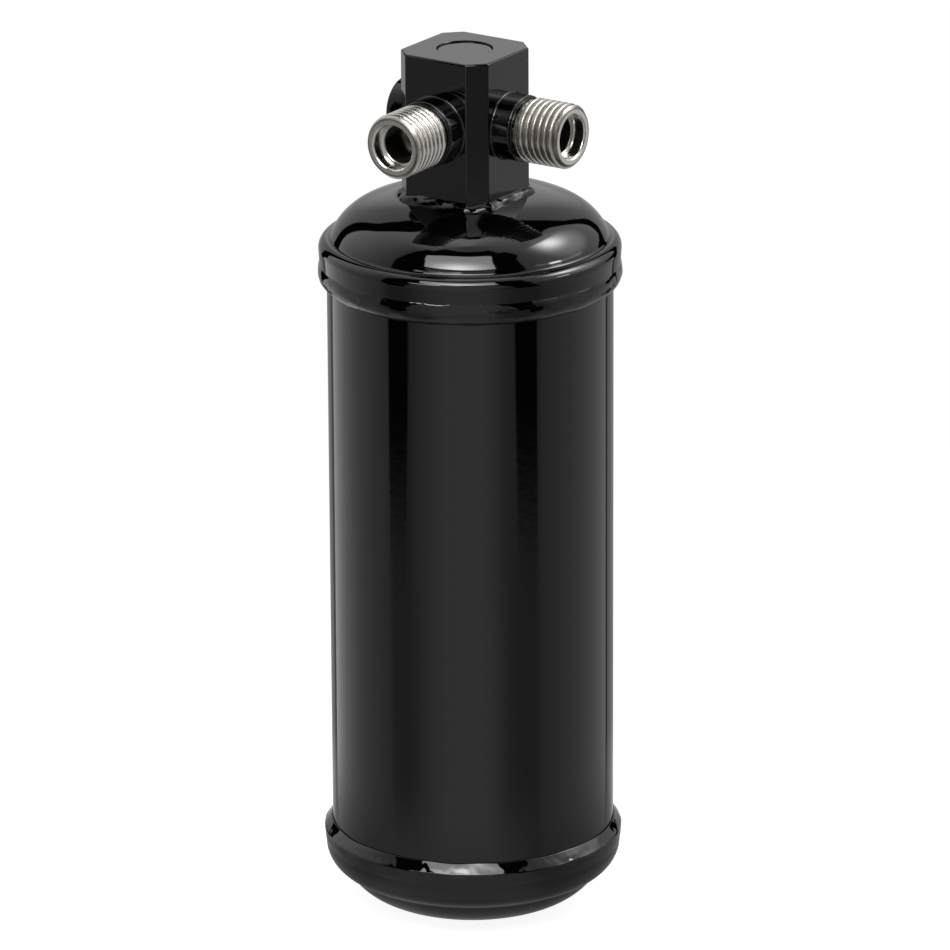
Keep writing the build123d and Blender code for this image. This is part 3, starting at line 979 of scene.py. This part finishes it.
# %% Glows and strips
glow_top = curve(bearing, (80, 61), (103, 57.5), (117, 53.5), (129, 48.5), (150, 40))
glow = 13.0 * spot(107, 15.5, 50, 9.5) * (glow_top - level).ease(-1.5, 1.5)
glow = glow + 1.4 * around(110, 40, 26, 6)
STRIP_HEIGHT = 3
right_low = curve(bearing, (58, 29.5), (85, 22), (108, 16))
left_low = curve(bearing, (-50, 25.5), (-36, 27), (-8, 31))
right_light = 1.2 * between(bearing, 60, 108, 3) + 14.0 * between(bearing, 73, 84, 2)
left_light = 5.0 * between(bearing, -35, -8, 3) + 12.0 * between(bearing, -49, -24, 2)
strips = (right_light * between(level, right_low, right_low + STRIP_HEIGHT)
          + left_light * between(level, left_low, left_low + STRIP_HEIGHT))
seen = (grey * (1 - behind) + backdrop * behind) * (1 - dark) + key + glow + strips
print("studio:", len(world.node_tree.nodes), "nodes")

# %% [markdown]
# ### Who sees what
#
# A photograph on white needs a white backdrop, but a white room would drown the black paint.
# So the camera sees plain white, mirrors see the studio, and everything else is lit by the
# same studio at a plain level.

# %% World output
PLAIN_LEVEL = 0.55


def ray_kinds(start):
    """Wires that are 1 for rays from the camera, off a gloss surface and through a clear one."""
    path = start.tree.nodes.new("ShaderNodeLightPath")
    return [Wire(start.tree, path.outputs[kind])
            for kind in ("Is Camera Ray", "Is Glossy Ray", "Is Transmission Ray")]


camera_ray, mirror_ray, through_ray = ray_kinds(sky)
mirror = mirror_ray.maths("MAXIMUM", through_ray)
lighting = seen * (PLAIN_LEVEL + (1 - PLAIN_LEVEL) * mirror)
glare = sky.node("ShaderNodeBackground", inputs={
    "Color": (1, 1, 1, 1), "Strength": lighting * (1 - camera_ray) + camera_ray})
out = world.node_tree.nodes.new("ShaderNodeOutputWorld")
world.node_tree.links.new(glare.socket, out.inputs["Surface"])
print("rough surfaces get", PLAIN_LEVEL, "of the light that mirrors see")

# %% [markdown]
# ## Floor
#
# A pale disc carries the part and its soft shadow. Its rim fades away, so that no edge shows.
# The camera sees it almost white, while the underside of the paint mirrors the table's glow, with
# a painted shadow that is darkest near the part and brighter towards the camera, behind the part
# and further out.

# %% Pale floor
FLOOR_COLUMNS, FLOOR_DROP = 96, 0.02
turn = np.linspace(0, 2 * np.pi, FLOOR_COLUMNS, endpoint=False)
floor_rings = np.array([0.0, 60, 120, 200, 300, 420])[:, None]
floor = skin("floor", np.stack([floor_rings * np.cos(turn), floor_rings * np.sin(turn),
                                0 * floor_rings * turn - FLOOR_DROP], -1))
# an open sheet has no volume, so one of its normals tells which side is up
if floor.data.polygons[0].normal.z < 0:
    floor.data.flip_normals()


def table_top():
    """White with a shadow for the camera; for mirrors, a glow by distance and bearing, with a
    painted shadow near the part.
    """
    material, start, at = new_material("pale_floor")
    far = at.length()
    ahead = (at.dot(direction(-12.0, 0.0)) / (far + 0.001)).ease(0.5, 0.87)
    rear = (at.dot(direction(180.0, 0.0)) / (far + 0.001)).ease(0.55, 0.85)
    camera_ray, mirror_ray, _ = ray_kinds(start)
    lit = start.node("ShaderNodeBsdfDiffuse", inputs={"Color": (0.34, 0.34, 0.34, 1)})
    shine = start.node("ShaderNodeEmission", inputs={
        "Color": (1, 1, 1, 1), "Strength": 0.3 + 0.61 * camera_ray})
    white = start.node("ShaderNodeAddShader", inputs={0: lit, 1: shine})
    # painted shadow: for mirrors, the floor's glow is darker near the part
    glow_with_painted_shadow = 0.2 + 0.1 * far.ease(0.034, 0.05)
    glow_with_painted_shadow = glow_with_painted_shadow + ahead * (0.1 + 0.12 * far.ease(0.035, 0.046))
    glow_with_painted_shadow = glow_with_painted_shadow + 0.3 * rear * far.ease(0.045, 0.06)
    glow_with_painted_shadow = glow_with_painted_shadow + 0.2 * far.ease(0.07, 0.15)
    table = start.node("ShaderNodeEmission", inputs={
        "Color": (1, 1, 1, 1), "Strength": glow_with_painted_shadow})
    surface = start.node("ShaderNodeMixShader", inputs={0: mirror_ray, 1: white, 2: table})
    fade = far.ease(0.06, 0.38) * (1 - mirror_ray) + far.ease(0.06, 0.15) * mirror_ray
    clear = start.node("ShaderNodeBsdfTransparent")
    return finish_with(material, start.node(
        "ShaderNodeMixShader", inputs={0: fade, 1: surface, 2: clear}))


floor.data.materials.append(table_top())

# %% [markdown]
# ## Camera
#
# A long lens from well above the middle of the body, with a trace of roll, as fitted to the
# photograph.

# %% Camera
LENS_PIXELS, FRAME_PIXELS = 7533.0, 950
DISTANCE, TARGET_Z, TARGET_RIGHT = 1850.0, 111.11, 0.924
back = direction(0.0, CAMERA_EL)
up = np.cross(back, right)
view_right = right * math.cos(roll) + up * math.sin(roll)
view_up = up * math.cos(roll) - right * math.sin(roll)
eye = right * TARGET_RIGHT + np.array([0, 0, TARGET_Z]) + back * DISTANCE
lens = bpy.data.cameras.new("camera")
lens.sensor_width = 36.0
lens.lens = lens.sensor_width * LENS_PIXELS / FRAME_PIXELS
lens.clip_start, lens.clip_end = 0.1, 20.0
camera = bpy.data.objects.new("camera", lens)
bpy.context.collection.objects.link(camera)
pose = np.eye(4)
pose[:3, 0], pose[:3, 1], pose[:3, 2], pose[:3, 3] = view_right, view_up, back, eye * MM
camera.matrix_world = Matrix(pose)
bpy.context.scene.camera = camera
bpy.context.scene.view_settings.view_transform = "Standard"
print("lens", round(lens.lens, 1), "mm")
